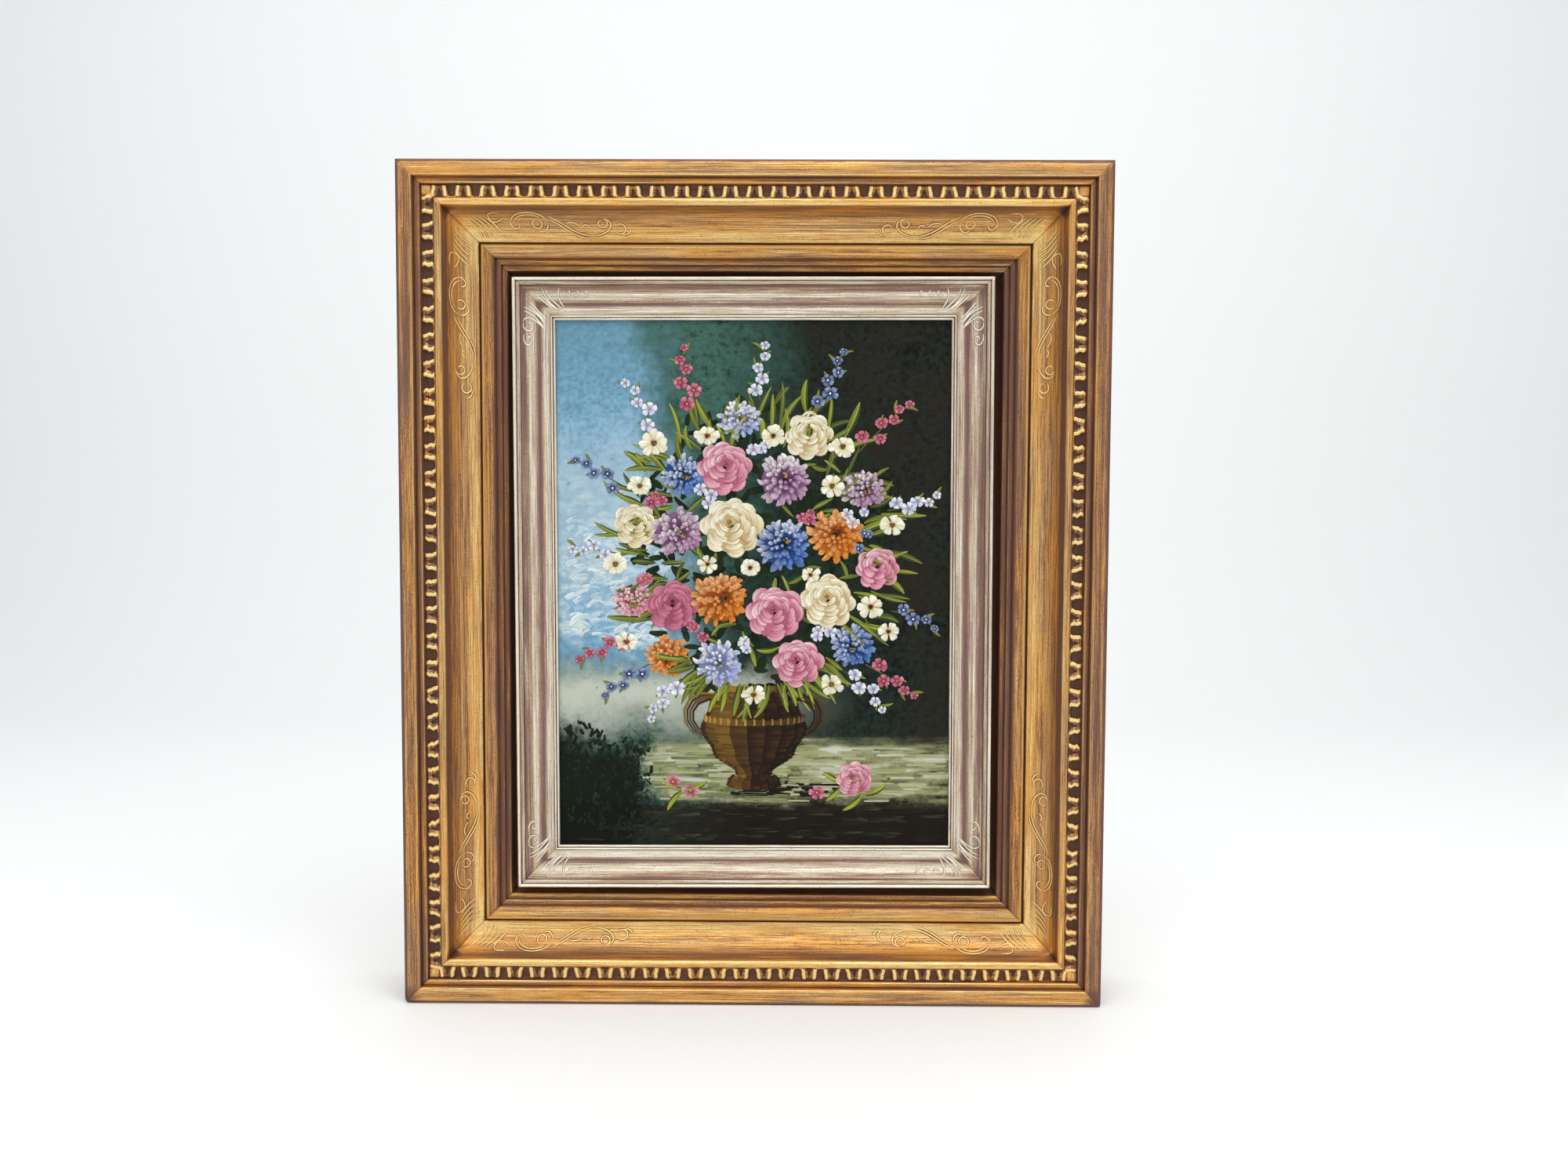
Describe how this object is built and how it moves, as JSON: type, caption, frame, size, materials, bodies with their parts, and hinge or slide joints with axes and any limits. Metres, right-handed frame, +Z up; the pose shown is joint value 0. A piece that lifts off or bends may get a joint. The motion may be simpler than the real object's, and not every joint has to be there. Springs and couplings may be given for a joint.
{
  "type": "framed oil painting",
  "caption": "Upright flower still life in oils on stretched canvas, in a silvered insert frame set into a deep gilt outer frame with a carved leaf band and a scooped cove.",
  "frame": {"origin": "middle of the saw-tooth hanger's rear face, on the wall plane", "axes": "+Z up, +X to the right as the picture is seen from the front, and +Y from the picture back into the wall"},
  "size_m": [0.384, 0.049, 0.459],
  "materials": {
    "gilt_wood": "gold leaf rubbed through to red-brown bole, antiqued and speckled",
    "silvered_wood": "silver leaf rubbed through to mauve bole, toned warm",
    "painted_canvas": "oil paint with raised strokes on primed woven canvas, thin varnish",
    "pine": "planed bare pine",
    "plated_steel": "zinc plate, dull",
    "brass_plate": "brass plate, lightly tarnished"
  },
  "bodies": {
    "root": {"frame_top": "gilt_wood", "frame_bottom": "gilt_wood", "frame_left": "gilt_wood", "frame_right": "gilt_wood", "insert_top": "silvered_wood", "insert_bottom": "silvered_wood", "insert_left": "silvered_wood", "insert_right": "silvered_wood", "canvas": "painted_canvas", "stretcher_top": "pine", "stretcher_bottom": "pine", "stretcher_left": "pine", "stretcher_right": "pine", "turn_plate_1": "plated_steel", "turn_plate_2": "plated_steel", "turn_plate_3": "plated_steel", "turn_plate_4": "plated_steel", "plate_screw_1": "plated_steel", "plate_screw_2": "plated_steel", "plate_screw_3": "plated_steel", "plate_screw_4": "plated_steel", "hanger": "brass_plate", "hanger_nail_left": "brass_plate", "hanger_nail_right": "brass_plate"}
  },
  "joints": []
}
